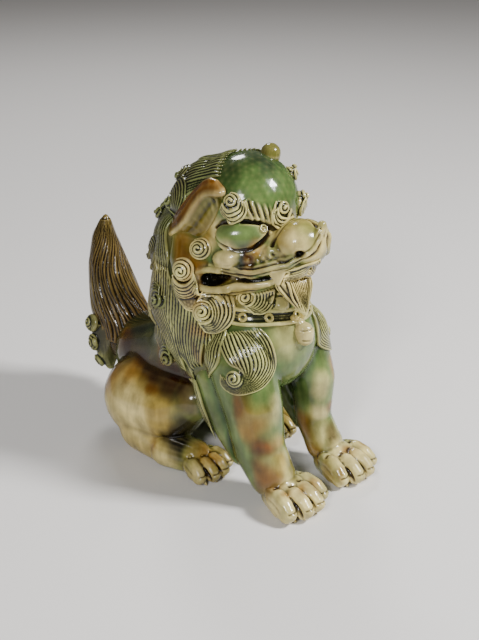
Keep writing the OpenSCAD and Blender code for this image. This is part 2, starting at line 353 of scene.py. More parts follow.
# the eye: a groove all round, a thick rim above, a soft crease below
EYE = [(-23, -1, -5.5), (-25.5, -2.5, -9), (-25.5, -6, -14), (-23.5, -11, -17.3), (-20, -17.5, -17),
       (-16, -22, -13.5), (-12, -24.5, -9), (-11.5, -24, -6.5), (-15.5, -21.5, -4), (-20, -17.5, -3.2),
       (-24, -11.5, -2.8), (-24, -5, -3), (-23, -1, -5.5)]
face(EYE, 0.9, -2.2)
face([(-22.5, -14, -1.2), (-17.5, -19, -2), (-12, -22.5, -3.6), (-6, -25.5, -4.5)], 1.2, 1.0)
face([(-25, -3, -15), (-22.5, -8.5, -18), (-20.5, -14, -18.8), (-18, -19.5, -17)], 1.6, 0.5)
face([(-21.5, -15, -19), (-20.5, -18, -21), (-20, -18, -25)], 1.6, -0.7)
face([(-22.5, -3, -25.6), (-22, -9, -26), (-22, -13.5, -26)], 0.8, -0.5)
face([(-17, -23.5, -21)], 1.3, 1.3)
face([(-16.5, -27, -20.5)], 1.1, 1.2)
face([(-16.5, -25, -23)], 1.0, 0.9)
face([(-18.5, -21, -23)], 0.9, 0.8)
# the nose: a line round the bulb and a round nostril
NOSE = [(-16.5, -28, -20), (-13.5, -27, -13), (-11, -30, -8.5), (-5, -33, -4.8), (0, -38, -5),
        (-2, -45.5, -8.2), (-3, -47.6, -13.5), (-4, -45.5, -18.5), (-8, -42.5, -22.5), (-12, -38.5, -24),
        (-15, -34, -23.8), (-16.5, -28, -20)]
face(NOSE, 0.95, -1.5)
face([(-11.2, -40.3, -20.6)], 1.9, -3.6)
face([(-14, -38, -20.5), (-13.5, -39.5, -18.2), (-10.5, -42, -18)], 0.8, 0.6)
# the brow: a deep line above the eye and four ridges running down between the curls
face([(-22, -15, -3), (-19, -17.5, -3.3), (-15, -20.8, -5), (-9.5, -23.6, -7), (-4, -26, -6.8),
      (0, -26.5, -6.5)], 0.9, -1.5)
for k in range(4):
    top = (-20.8 + 2.4 * k, -17.2 - 1.9 * k, 6.0 - 0.6 * k)
    low = (-18.5 + 2.6 * k, -18.6 - 1.7 * k, -2.2 - 0.7 * k)
    mid = tuple((a + b) / 2 + c for a, b, c in zip(top, low, (-0.6, -0.5, -0.4)))
    face([top, mid, low], [0.7, 0.95, 0.8], 1.5)
    face([(x + 1.25, y - 0.9, z) for x, y, z in (top, mid, low)], 0.6, -1.3)
put_points(head.data, co)

# %% [markdown]
# ## Hair masses
# The hair is combed into pads of clay laid over the neck and shoulders, so the pads come first.

# %% Hair masses
bm = bmesh.new()
lump(bm, [(2, 20, 145, 18.5), (0, 30, 117, 23.5), (0, 34, 92, 19.5), (0, 19, 112, 25.5)])
SIDE = [(-17.5, 26, 128, 10.5), (-21, 27, 100, 11), (-22, 22, 92, 11.5), (-27, 8, 60, 5.5),
        (-24, -6, 72, 8.5), (-18, 34, 84, 11.5)]
lump(bm, SIDE)
lump(bm, mirrored(SIDE))
mane = melt("mane_pad", bm, 1.25, 8)
bm = bmesh.new()
limb(bm, [(0, 86, 44, 15.5), (0, 98, 62, 14.5), (0, 104, 84, 10.5), (0, 106, 100, 6.5), (0, 104, 113, 2.2)])
tail = melt("tail_core", bm, PAD_GRAIN, 10)

# %% [markdown]
# ## Combing
# A comb drawn through wet clay leaves ridges side by side. Each ridge is a rope that lies on the
# form below it: it starts as a smooth path between two guide lines, is laid on the nearest clay,
# and the ropes of one lock are then melted together, so that the grooves keep a soft bottom.

# %% Paths on the form
def tree_of(objs):
    """One search tree over several skins, to ask for the nearest clay."""
    verts, faces = [], []
    for o in objs:
        n = len(verts)
        verts += [tuple(v) for v in points(o.data)]
        faces += [tuple(n + i for i in p.vertices) for p in o.data.polygons]
    return BVHTree.FromPolygons(verts, faces)


def lay(path, tree, lift):
    """Drops a path on the clay below it, a little proud of it, and evens it out."""
    out = []
    for p, h in zip(path, np.broadcast_to(lift, len(path))):
        at, no, _, _ = tree.find_nearest(Vector(p))
        out.append(at + no * float(h))
    soft = np.array([tuple(p) for p in out])
    for _ in range(3):
        soft[1:-1] = (soft[:-2] + 2 * soft[1:-1] + soft[2:]) / 4
    return soft


def comb(ropes, tree, one, other, pitch=1.7, lift=0.6, wave=0.0, waves=2.0):
    """Ropes side by side between two guide lines, as thick as the room between them allows."""
    long = max(np.linalg.norm(np.diff(smooth_path(g, 30), axis=0), axis=1).sum() for g in (one, other))
    m = max(8, int(long / COMB_STEP))
    a, b = smooth_path(one, m), smooth_path(other, m)
    wide = np.linalg.norm(b - a, axis=1)
    n = max(2, int(round(wide.max() / pitch)) + 1)
    r = np.clip(0.54 * wide / (n - 1), 0.38, 1.0)
    u = np.linspace(0, 1, m)
    for k in range(n):
        path = a + (b - a) * (k / (n - 1))
        if wave:
            side = (b - a) / (wide[:, None] + 1e-6)
            path = path + side * (wave * np.sin(2 * np.pi * waves * u))[:, None]
        path = lay(path, tree, lift)
        s = np.concatenate([[0], np.cumsum(np.linalg.norm(np.diff(path, axis=0), axis=1))])
        thin = np.clip(np.minimum(s, s[-1] - s) / COMB_TAPER, 0.2, 1) ** 0.5
        ropes.append((path, r * thin))


# %% [markdown]
# ## Snail curls and fans
# Every curl is a thin coil wound flat from the middle, pressed on so that the middle stands up, with
# arcs combed behind it. A curl here is one spiral rope on a domed pad, and a fan is a stack of
# arcs. A carved texture would look the same from the front only, so both are real clay.

# %% Snail curls
def curl(ropes, pads, tree, at, towards, turns=2.0, arcs=2.0, pitch=1.7, rise=4.0, hand=1, drift=0.45, r=0.95,
         lift=0.4):
    """A rope wound into a snail whose outer turns spread towards one side."""
    at = Vector(at)
    hit, n, _, _ = tree.find_nearest(at)
    u = Vector(towards) - at
    u = (u - n * u.dot(n)).normalized()
    v = n.cross(u) * hand
    total = turns + arcs
    th = np.arange(0.15, total, 1 / 26)
    early = np.minimum(th, turns)
    late = np.maximum(th - turns, 0)
    rad = 0.35 + pitch * early + pitch * (1 - drift) * late
    off = pitch * drift * late
    ang = 2 * np.pi * th
    x, y = off + rad * np.cos(ang), rad * np.sin(ang)
    reach = np.hypot(x, y)
    far = reach.max()
    h = rise * np.clip(1 - (reach / far) ** 1.6, 0, 1)
    flat = np.array([tuple(hit)]) + np.outer(x, u) + np.outer(y, v) + np.outer(np.full(len(x), 1.0), n)
    path = lay(flat, tree, lift)
    path = path + np.outer(h, n)
    thin = np.clip((th[-1] - th) * 2 * np.pi * rad / 6, 0.3, 1) ** 0.5
    ropes.append((path, r * thin * np.clip(0.75 + th * 0.25, 0, 1)))
    mid = hit + u * (off.max() * 0.35)
    m = Matrix((u, v * hand, n)).transposed().to_4x4()
    pads.append((Matrix.Translation(mid) @ m @ Matrix.Diagonal((far * 0.8, far * 0.72, rise * 0.95, 1))))


def fan(ropes, pads, tree, at, towards, first=5.0, count=5, pitch=1.7, grow=0.3, span=105, rise=3.0, hand=1,
        lift=0.5, skew=0.0):
    """Arcs of rope stacked behind a curl, each one further out."""
    hit, n, _, _ = tree.find_nearest(Vector(at))
    u = Vector(towards) - Vector(at)
    u = (u - n * u.dot(n)).normalized()
    v = n.cross(u) * hand
    far = first + pitch * count
    for k in range(count):
        rad, off = first + grow * pitch * (k + 1), (1 - grow) * pitch * (k + 1)
        th = np.radians(np.linspace(-span, span, 34)) + math.radians(skew)
        x, y = off + rad * np.cos(th), rad * np.sin(th)
        flat = np.array([tuple(hit)]) + np.outer(x, u) + np.outer(y, v) + np.outer(np.ones(len(x)), n)
        h = rise * np.clip(1 - (np.hypot(x, y) / (far * 1.05)) ** 2, 0, 1)
        path = lay(flat, tree, lift) + np.outer(h, n)
        thin = np.clip(np.linspace(0, 1, 34) * 5, 0.3, 1) * np.clip(np.linspace(1, 0, 34) * 5, 0.3, 1)
        ropes.append((path, pitch * 0.54 * thin ** 0.5))
    m = Matrix((u, v * hand, n)).transposed().to_4x4()
    pads.append(Matrix.Translation(hit + u * (far * 0.42)) @ m
                @ Matrix.Diagonal((far * 0.56, (first + grow * pitch * count) * 0.86, rise * 0.6, 1)))


# %% [markdown]
# ## From ropes to clay
# Ropes are curves with a round bevel and their own radius at every point. Turned into a mesh and
# melted together they make a lock with soft grooves between the strands.

# %% Ropes to clay
def rope_mesh(ropes):
    """All the strands of one lock as a single mesh, each as thick as its own list of radii says."""
    data = bpy.data.curves.new("ropes", "CURVE")
    data.dimensions, data.bevel_depth = "3D", 1.0
    data.bevel_resolution, data.use_fill_caps = 2, True
    for path, radius in ropes:
        line = data.splines.new("POLY")
        line.points.add(len(path) - 1)
        line.points.foreach_set("co", np.hstack([path, np.ones((len(path), 1))]).ravel())
        line.points.foreach_set("radius", np.broadcast_to(radius, len(path)).astype(float))
    obj = bpy.data.objects.new("ropes", data)
    bpy.context.scene.collection.objects.link(obj)
    graph = bpy.context.evaluated_depsgraph_get()
    me = bpy.data.meshes.new_from_object(obj.evaluated_get(graph))
    bpy.data.objects.remove(obj)
    return me


def lock(name, ropes, pads=(), grain=CURL_GRAIN, rounds=1, extra=None):
    bm = extra if extra is not None else bmesh.new()
    for m in pads:
        bmesh.ops.create_icosphere(bm, subdivisions=3, radius=1, matrix=m)
    me = rope_mesh(ropes)
    bm.from_mesh(me)
    bpy.data.meshes.remove(me)
    return melt(name, bm, grain, rounds, 0.35)


form = tree_of([body, head, mane])  # the hair is laid on these three skins


def over_head(pts):
    """The same points on the other side of the head's own middle plane."""
    p = np.atleast_2d(np.asarray(pts, float)) @ HEAD_inv[:3, :3].T + HEAD_inv[:3, 3]
    p[:, 0] *= -1
    return [tuple(q) for q in from_head(p)]


def over_body(pts):
    return [(-p[0], *p[1:]) for p in pts]


# %% [markdown]
# ## Cheek, jowl and chin
# Behind the cheek hang a small curl, a large curl with a long fan below it, and a round jowl curl;
# a flat one lies under the jaw beside a plain pellet. The left side repeats the right one in the
# middle plane of the head, since the head is turned on the body.

# %% Cheek and jaw curls
CHIN_PELLET = 4.7


def cheeks(side, flip):
    who = "right" if side > 0 else "left"
    ropes, pads = [], []

    def press_on(make, at, towards, **kw):
        p, t = flip([at, towards])
        make(ropes, pads, form, p, t, hand=side, **kw)

    press_on(curl, (-26, 4.5, 127), (-25, -2, 120), turns=2.6, arcs=0.9, pitch=1.55, rise=5,
             drift=0.15)
    press_on(fan, (-33, 9.8, 117), (-32, 6, 97), first=6.0, count=9, pitch=1.7, grow=0.1, span=92,
             rise=3.8, skew=4, lift=0.9)
    press_on(curl, (-33, 9.8, 117), (-32, 6, 99), turns=3.1, arcs=0.5, pitch=1.6, rise=6.5, drift=0.1,
             lift=1.2)
    cheek = lock(who + "_cheek_curls", ropes, pads)
    ropes, pads = [], []
    press_on(fan, (-31.5, -1.5, 97), (-21.5, -15, 99), first=5.0, count=7, pitch=1.75, grow=0.5,
             span=120, rise=6.0, lift=1.4)
    press_on(curl, (-31.5, -1.5, 97), (-22.5, -14, 99), turns=2.8, arcs=0.4, pitch=1.7, rise=8.0,
             drift=0.1, lift=1.6)
    jowl = lock(who + "_jowl_curl", ropes, pads)
    ropes, pads = [], []
    press_on(fan, (-18, -17.5, 104.5), (-5, -26.5, 104.5), first=3.6, count=7, pitch=1.6, grow=0.45,
             span=100, rise=3.6, skew=-10, lift=0.8)
    press_on(curl, (-18, -17.5, 104.5), (-6, -25, 105), turns=2.2, arcs=0.3, pitch=1.55, rise=5.0,
             drift=0.1, lift=1.0)
    at = flip([(-5, -29, 99.5)])[0]  # the round pellet beside the chin curl
    bm = bmesh.new()
    ball(bm, at, CHIN_PELLET, fine=4)
    chin = lock(who + "_chin_curl", ropes, pads, extra=bm)
    return cheek, jowl, chin


right_cheek, right_jowl, right_chin = cheeks(1, lambda p: p)
left_cheek, left_jowl, left_chin = cheeks(-1, over_head)


# %% [markdown]
# ## Brows
# Each brow ends in a snail curl above the eye. The far side of the forehead carries two more small
# ones that show past the dome.

# %% Brow curls
def brow_curls(name, spots):
    ropes, pads = [], []
    for at, to, size in spots:
        curl(ropes, pads, form, at, to, turns=2.0 * size, arcs=0.3, pitch=1.65, rise=4.2, drift=0.1,
             hand=-1 if at[0] > -10 else 1)
        fan(ropes, pads, form, at, to, first=3.3 * size, count=int(4 * size), pitch=1.6, grow=0.45, rise=3.6,
            hand=-1 if at[0] > -10 else 1)
    return lock(name, ropes, pads, grain=0.33)


right_brow = brow_curls("right_brow_curl_glazed", [((-18, -9, 152.5), (-17, -12, 143), 1.1)])
left_brow = brow_curls("left_brow_curls_glazed", [((0, -25, 148.5), (-2, -26, 141), 1.05),
                                                   ((20.5, -18, 147), (20, -20, 140), 1.0),
                                                   ((21, -11, 158), (21, -14, 152), 0.6)])


# %% [markdown]
# ## Glaze palette
# The glazes are named before the ears, because the ears are the first piece that is tinted where it
# is made. The values are linear colours: a cream ground, straw to amber to brown for iron, and leaf
# to dark green for copper.

# %% Glaze palette
CREAM, STRAW, OCHRE = (0.66, 0.57, 0.30), (0.42, 0.31, 0.10), (0.30, 0.16, 0.035)
AMBER, BROWN = (0.17, 0.062, 0.004), (0.040, 0.013, 0.002)
GREEN, LEAF = (0.042, 0.085, 0.026), (0.125, 0.19, 0.072)
MOSS, OLIVE = (0.022, 0.028, 0.012), (0.15, 0.135, 0.03)
# DARK is near-black: painted shade in creases and the open mouth, and pooled glaze plus painted shade in
# grooves and cuts
INK, DARK = (0.030, 0.030, 0.045), (0.006, 0.005, 0.003)
TAIL_AMBER = (0.13, 0.06, 0.012)
print("cream glaze:", CREAM, "green glaze:", GREEN)


# %% [markdown]
# ## Ears
# An ear is a leaf of clay folded along its upper edge, with a raised rim painted pale along its
# length as a painted highlight. It could be a sheet bent in two, but a rolled leaf has thickness that
# changes from root to tip, so it is a row of hulls between three guide lines: back, rim and root.

# %% Ears
EAR_BACK = [(-20, -4, 158), (-19, 1.5, 160.5), (-19, 6.5, 159), (-19.5, 10.5, 155.5), (-21, 14.5, 151),
            (-22.5, 18.5, 145.5), (-22.5, 24.5, 138), (-22.5, 29.5, 131), (-22, 34.5, 125.5)]
EAR_RIM = [(-22, -6, 157), (-23.5, -3, 156.5), (-23.5, 1.5, 155.5), (-24, 5.5, 153), (-25.5, 8.5, 148.5),
           (-27, 10.8, 143.5), (-28, 14, 138.5), (-27.5, 19.5, 133.5), (-25.5, 26.5, 128.5),
           (-22.5, 34.5, 124)]
EAR_ROOT = [(-19, -4, 155), (-20, -3, 151), (-21.5, -1.5, 145.5), (-22, 1, 140.5), (-23, 4, 135.5),
            (-23.5, 8, 132), (-23.5, 13.5, 129.5), (-23, 22, 127), (-22, 33, 124)]


def ear(name, flip):
    n = 12
    back, rim, root = (smooth_path(flip(p), n) for p in (EAR_BACK, EAR_RIM, EAR_ROOT))
    bm = bmesh.new()
    for i in range(n - 1):
        r = np.interp(i, (0, n - 1), (1.8, 1.2))
        lump(bm, [(*back[i], r), (*rim[i], r), (*back[i + 1], r), (*rim[i + 1], r)])
        lump(bm, [(*root[i], 1.0), (*rim[i], 1.0), (*root[i + 1], 1.0), (*rim[i + 1], 1.0)])
        lump(bm, [(*root[i], 1.0), (*back[i], 1.0), (*root[i + 1], 1.0), (*back[i + 1], 1.0)])
    limb(bm, [(*p, 1.5) for p in rim])
    made = melt(name, bm, EAR_GRAIN, 5)
    co, no = points(made.data), normals(made.data)
    stroke(co, no, back * 0.5 + rim * 0.5, 2.0, 0.8)
    stroke(co, no, (root * 0.5 + rim * 0.5)[2:-2], 1.6, -1.2)
    stroke(co, no, rim[:-1], 0.9, 0.7)
    put_points(made.data, co)
    away = [np.linalg.norm(co[:, None] - p[None], axis=2).min(1)
            for p in (smooth_path(back, 60), smooth_path(root, 60), smooth_path(rim, 60))]
    outer = np.clip(0.5 + (away[1] - away[0]) / 3, 0, 1)[:, None]
    low = np.clip((150 - co[:, 2]) / 26, 0, 1)[:, None]
    shade = outer * (np.array(AMBER) * (1 - 0.6 * low) + np.array(BROWN) * 0.6 * low)
    shade = shade + (1 - outer) * (np.array(OLIVE) * (1 - 0.5 * low) + np.array(OCHRE) * 0.5 * low)
    # painted highlight: the rim is painted pale cream along its length, handed on as cuts
    cuts = 2.6 * np.exp(-(away[2] / 1.5) ** 2)
    return made, dict(tint=shade, tint_by=0.9, cuts=cuts)


right_ear, right_ear_glaze = ear("right_ear_glazed", lambda p: p)
left_ear, left_ear_glaze = ear("left_ear_glazed", over_head)

# %% [markdown]
# ## Beard
# A pointed goatee hangs from the chin, combed in two halves that meet at the tip, and a second row
# of short strands runs under the lower lip. Both are combs drawn over a pad.

# %% Beard
bm = bmesh.new()
lump(bm, [(-8, -27, -34, 3.4), (8, -30, -33, 3.4), (0, -34, -50, 1.0)], HEAD)
pad = melt("beard_pad", bm, 0.8, 2)
beard_form = tree_of([pad])
ropes = []


def on_chin(pts):
    """Points given in the head's own axes."""
    return [tuple(p) for p in from_head(pts)]


comb(ropes, beard_form, on_chin([(-11, -25, -32), (-7, -29, -41), (-1, -34.5, -51)]),
     on_chin([(3, -36, -30), (2, -37, -40), (0, -36, -51)]), pitch=1.6)
comb(ropes, beard_form, on_chin([(11, -27, -32), (7, -31, -41), (1, -34.5, -51)]),
     on_chin([(4, -36, -30), (2.5, -37, -40), (0.2, -36, -51)]), pitch=1.6)
bm = bmesh.new()
bm.from_mesh(pad.data)
bpy.data.objects.remove(pad)
beard = lock("beard_combed", ropes, extra=bm)
ropes = []
comb(ropes, form, on_chin([(-13, -31, -29), (-6, -39, -26), (0, -43, -22)]),
     on_chin([(-10, -30, -36), (-5, -35, -35), (0, -36, -34)]), pitch=1.5)
comb(ropes, form, on_chin([(13, -31, -29), (6, -39, -26), (0, -43, -22)]),
     on_chin([(10, -30, -36), (5, -35, -35), (0, -36, -34)]), pitch=1.5)
chin_comb = lock("chin_comb", ropes)

# %% [markdown]
# ## Mane
# Long strands fall from under the cheek curls, wave past the shoulder and end at the elbow in a
# narrow ridged strip. Each hank is one comb between two guide lines laid on the body.

# %% Mane
def mane_side(side, flip):
    ropes = []

    def strands(one, other, **kw):
        comb(ropes, form, flip(one), flip(other), **{"pitch": 2.0, "lift": 0.8, "wave": 0.8, **kw})

    # the strands that fall from under the cheek curls to the elbow
    strands([(-33, 21, 110), (-33, 20.5, 88), (-32.5, 16.5, 73.5), (-32.5, 7, 64), (-28, 4, 47)],
            [(-32.5, 9, 108), (-32.5, 9.5, 86), (-32.5, 7.5, 72.5), (-30, 3.5, 60), (-26, 2, 46)], waves=1.5)
    strands([(-32, 8.5, 102), (-32.5, 9, 85), (-32.5, 6.5, 72), (-29, 2.5, 58), (-25, 2, 43)],
            [(-30, -1.5, 100), (-32.5, -2, 82.5), (-32.5, -2.5, 72), (-27, 0, 57), (-22, 2, 42)],
            waves=1.5, lift=1.1)
    strands([(-31, -3, 96), (-32, -4, 80), (-34, -8.5, 70.5), (-26, 0, 54), (-21, 3, 43)],
            [(-26, -10.5, 96), (-34, -16, 82.5), (-36.5, -17, 74), (-27, -4, 56), (-21, 2, 44)], waves=1.2)
    strands([(-32, 8, 57), (-31, 3, 46), (-30.5, -3, 36), (-29.5, -9, 28)],
            [(-34, 1, 59), (-33.5, -3, 48), (-32.5, -7, 38), (-30, -11, 28)], lift=1.2, wave=0.2, pitch=1.7)
    # behind them, down the flank
    strands([(-20, 47, 112), (-22, 45, 98), (-22, 43, 84), (-23, 40, 72), (-28, 28, 61)],
            [(-32, 23, 114), (-33, 21.5, 98), (-33, 19.5, 86), (-33, 15, 74), (-32, 9, 61)], waves=2)
    return lock(("right" if side > 0 else "left") + "_mane_locks", ropes, grain=HAIR_GRAIN)


right_locks = mane_side(1, lambda p: p)
left_locks = mane_side(-1, over_body)


# %% [markdown]
# ## Shoulder locks
# A broad lock starts under the jowl, swells over the shoulder and turns up into a small curl at its
# tip. Its guide lines bend round together, so the strands bend with them.

# %% Chest lock
def chest_lock(side, flip):
    ropes, pads = [], []
    comb(ropes, form,
         flip([(-29, -11, 86), (-34.5, -18, 82.5), (-36, -24, 78), (-34.5, -28, 76), (-33.5, -30.5, 73.5),
               (-35, -30.5, 69.5), (-37, -27.5, 68), (-37.5, -23.5, 69.5)]),
         flip([(-18.5, -27.5, 92), (-17, -33.5, 85), (-17, -36, 73.5), (-26.5, -38, 67), (-34, -34, 64),
               (-37, -27.5, 63), (-38, -21, 66), (-38, -20, 72)]), lift=0.8)
    curl(ropes, pads, form, *flip([(-36, -27, 71), (-38, -24, 69)]), turns=2.0, arcs=0.6, pitch=1.7, rise=2.5,
         hand=side, drift=0.1)
    return lock(("right" if side > 0 else "left") + "_chest_lock", ropes, pads)


right_chest = chest_lock(1, lambda p: p)
left_chest = chest_lock(-1, over_body)


# %% [markdown]
# ## Crown and nape
# The hair is combed back from the dome and down the nape in long waves, and hooked curls are pressed
# on over it. One side is built and mirrored in the plane of the body.

# %% Crown and nape
def crown(side, flip):
    ropes, pads = [], []

    def strands(one, other, **kw):
        comb(ropes, form, flip(one), flip(other), **{"pitch": 1.9, "lift": 0.8, **kw})

    strands([(6, 9, 168), (3, 20, 165), (0, 29, 160), (-5, 36, 153)],
            [(-14.5, 1, 162), (-15, 10, 159.5), (-16.5, 20, 155.5), (-15, 29, 149)], pitch=2.1, lift=1.0)
    strands([(0, 33, 157), (-1, 42, 148), (-1, 48, 136), (-1, 53, 122), (-1, 54, 106), (-1, 53, 92),
             (0, 54, 80)],
            [(-12, 32, 152), (-13, 40, 143), (-15, 45, 131), (-16, 48, 119), (-17, 49, 105), (-17, 48, 92),
             (-12, 54, 78)], wave=1.1, waves=3.5)
    strands([(-15, 7, 160.5), (-16, 15, 157.5), (-17, 24, 152)],
            [(-19.5, 8, 158), (-20.5, 16, 152.5), (-20.5, 24, 146)])
    strands([(-14, 32, 150), (-14, 41, 140), (-16, 46, 126), (-19, 47, 112)],
            [(-20, 19, 151), (-23, 24, 140), (-29, 26, 128), (-32, 23, 114)], wave=0.9, waves=1.5)
    # hooked curls: middle, way the arcs spread, turns, pitch, rise; first arc, arcs, growth
    for at, to, turns, pitch, rise, first, count, grow in (
            ((-16, 32, 142), (-17.5, 19, 153), 2.2, 1.6, 4.5, 4, 7, 0.5),
            ((-9, 36, 154), (-8, 29, 159), 1.6, 1.5, 3.5, 3, 3, 0.4),
            ((-18.5, 45.5, 111), (-23, 38, 120), 1.8, 1.6, 4, 3.4, 5, 0.5),
            ((-33, 26, 96), (-28, 38, 99), 2.4, 1.6, 5, 4, 4, 0.5),
            ((-11, 52, 100), (-5, 55, 108), 1.8, 1.6, 4, 3.2, 4, 0.5),
            ((-15, 54, 76), (-8, 56, 82), 1.8, 1.6, 4, 3.2, 3, 0.5),
            ((-12, 46, 132), (-4, 49, 138), 1.8, 1.6, 4, 3.2, 4, 0.5),
            ((-28.5, 25, 61), (-25, 33, 66), 1.9, 1.5, 4, 3, 3, 0.5)):
        p, t = flip([at, to])
        fan(ropes, pads, form, p, t, first=first, count=count, pitch=1.65, grow=grow, rise=2.8, hand=side,
            lift=0.9)
        curl(ropes, pads, form, p, t, turns=turns, arcs=0.3, pitch=pitch, rise=rise, hand=side, drift=0.1,
             lift=1.1)
    return lock(("right" if side > 0 else "left") + "_crown_locks", ropes, pads, grain=CROWN_GRAIN)


right_crown = crown(1, lambda p: p)
left_crown = crown(-1, over_body)


# %% [markdown]
# ## Small pellets
# The crown knob, pupils, fangs and claws are the last bits of clay pressed on by hand. Each is a
# hull over two or three balls, softened a little, since they are too small to need more.

# %% Knob, pupils, fangs and claws
def soft_piece(name, balls, grain=0.4, rounds=4, cuts=()):
    bm = bmesh.new()
    for group in balls:
        lump(bm, group)
    made = melt(name, bm, grain, rounds)
    co, no = points(made.data), normals(made.data)
    for path, width, depth in cuts:
        stroke(co, no, path, width, depth)
    put_points(made.data, co)
    return made


def in_head(balls):
    return [(*from_head(b[:3])[0], b[3]) for b in balls]


knob = soft_piece("crown_knob_glazed", [in_head([(6, -15, 29.5, 5.1), (5, -14.5, 26, 5.2)])],
                  cuts=[([tuple(from_head((6 + 5.6 * math.cos(t), -15 + 5.6 * math.sin(t), 25.6))[0])
                          for t in np.linspace(0, 2 * math.pi, 25)], 0.9, -0.7)])

head_tree = tree_of([head])
bm = bmesh.new()
for s in (-1, 1):
    mid, no, _, _ = head_tree.find_nearest(Vector(from_head((-15 * s, -22.8, -7.2))[0]))
    ball(bm, tuple(mid + no * 0.3), 0.75)
    side_way = no.cross(Vector((0, 0, 1))).normalized()
    up = side_way.cross(no)
    ring = [tuple(mid + no * 0.25 + side_way * 1.75 * math.cos(t) + up * 1.75 * math.sin(t))
            for t in np.linspace(0, 2 * math.pi, 25)]
    limb(bm, [(*p, 0.5) for p in ring])
pupils = melt("pupils", bm, 0.22, 2)

fangs = soft_piece("fangs_glazed",
                   [in_head([(14.6 * s, -26.5, -28.5, 2.0), (12.2 * s, -30.5, -28, 1.9),
                             (13.6 * s, -28.5, -34, 1.0)]) for s in (-1, 1)], grain=SMALL_GRAIN)


def claws(name, feet):
    groups = []
    for (x, y), size in feet:
        for k in range(4):
            u = k - 1.5
            cx = x + u * 6.1 * size
            cy = y - (15.4 - abs(u) * 2.0) * size
            groups.append([(cx, cy, 3.1 * size, 1.7 * size),
                           (cx + 0.3 * u, cy - 3.6 * size, 1.1 * size, 0.75 * size)])
    return soft_piece(name, groups, grain=SMALL_GRAIN, rounds=2)


fore_claws = claws("fore_claws", [((-21.5, -47), 1), ((21.5, -47), 1)])
rear_claws = claws("rear_claws", [((-28, 7), 0.9), ((28, 7), 0.9)])

# %% [markdown]
# ## Collar, rings and bell
# The collar is a flat strap with two raised edges: six parallel ropes laid round the throat and
# melted. Rings stand in for its studs, and a round bell with a slot hangs from a folded knot.

# %% Collar, studs and bell
STRAP = [(-29.5, -8, 99), (-27.5, -17, 98.3), (-22, -24, 97.6), (-13, -30.5, 96.5), (-1.5, -35, 95),
         (10, -34.5, 95.5), (20, -29, 96.8), (27, -19, 98.2), (29.5, -8, 99)]


def strap():
    ropes = []
    line = smooth_path(STRAP, 90)
    for dz, lift, r in ((3.6, 1.5, 1.15), (2.0, 0.7, 0.95), (0.5, 0.5, 0.95), (-1.0, 0.5, 0.95),
                        (-2.4, 0.7, 0.95), (-4.0, 1.5, 1.15)):
        ropes.append((lay(line + np.array([0, 0, dz]), form, lift), np.full(90, r)))
    return lock("collar_strap", ropes, grain=0.4)


collar = strap()
ropes = []
for u in (0.2, 0.36, 0.52, 0.66, 0.8):
    along = Vector(smooth_path(STRAP, 101)[int(u * 100)]) + Vector((0, 0, -0.2))
    mid, no, _, _ = form.find_nearest(along)
    side_way = no.cross(Vector((0, 0, 1))).normalized()
    up = side_way.cross(no)
    t = np.linspace(0, 2 * math.pi, 30)
    ring = (np.array(tuple(mid + no * 1.9)) + np.outer(np.cos(t), side_way * 1.7)
            + np.outer(np.sin(t), up * 1.7))
    ropes.append((ring, np.full(30, 0.85)))
studs = lock("collar_rings", ropes, grain=0.3)
SLOT = [(-5.5, -42, 84.6), (-3, -45, 84.2), (0.3, -46.5, 84), (3.5, -45, 84.4), (5.5, -42, 85)]
BAND = [(-5, -41, 89.6), (-2.5, -44, 89.8), (0.3, -45, 90), (3, -44, 90), (5, -41, 89.8)]
bell = soft_piece("bell_glazed", [[(0.3, -40.5, 87.3, 5.0), (0, -41.5, 84.6, 4.3)],
                                  [(0, -38, 91.5, 2.6), (0.3, -40, 88, 3.4)]],
                  cuts=[(SLOT, 0.6, -1.2), (BAND, 0.6, -0.7)])
knot = soft_piece("strap_knot", [[(-3, -36.5, 94.5, 2.0), (2.5, -37.5, 90.5, 1.6)],
                                 [(3.5, -36.5, 95, 2.0), (-1, -38, 90.5, 1.6)]],
                  grain=SMALL_GRAIN, rounds=3)

# %% [markdown]
# ## Tail
# The tail stands up like a flame. Its strands run from root to tip round a tapered core and sway
# together, each one slightly its own way, and curls sit in a tuft on either side of the root.

# %% Tail
tail_form = tree_of([tail])
SPINE = [(0, 88, 46), (0, 98, 62), (0, 104, 84), (0, 106, 100), (0, 104.5, 112)]


def plume():
    ropes = []
    m = 60
    u = np.linspace(0, 1, m)
    line = smooth_path(SPINE, m)
    thick = np.interp(u, [0, 0.3, 0.6, 0.85, 1], [15.5, 14.5, 10, 6, 2.6])
    n = 44
    for k in range(n):
        phi = (2 * np.pi * k / n + 0.2 * np.sin(2 * np.pi * 1.5 * u) + 0.3 * u
               + 0.045 * np.sin(2 * np.pi * (2.2 * u + 0.29 * (k % 7))))
        path = line + np.stack([np.cos(phi), np.sin(phi), 0 * u], 1) * (thick * 1.1)[:, None]
        path = lay(path, tail_form, 0.3)
        r = np.clip(0.56 * 2 * np.pi * thick / n, 0.4, 1.05) * np.clip((1 - u) / 0.06, 0.3, 1) ** 0.5
        ropes.append((path, r))
    bm = bmesh.new()
    bm.from_mesh(tail.data)
    return lock("tail_plume_glazed", ropes, grain=PLUME_GRAIN, extra=bm)


tail_plume = plume()
bpy.data.objects.remove(tail)


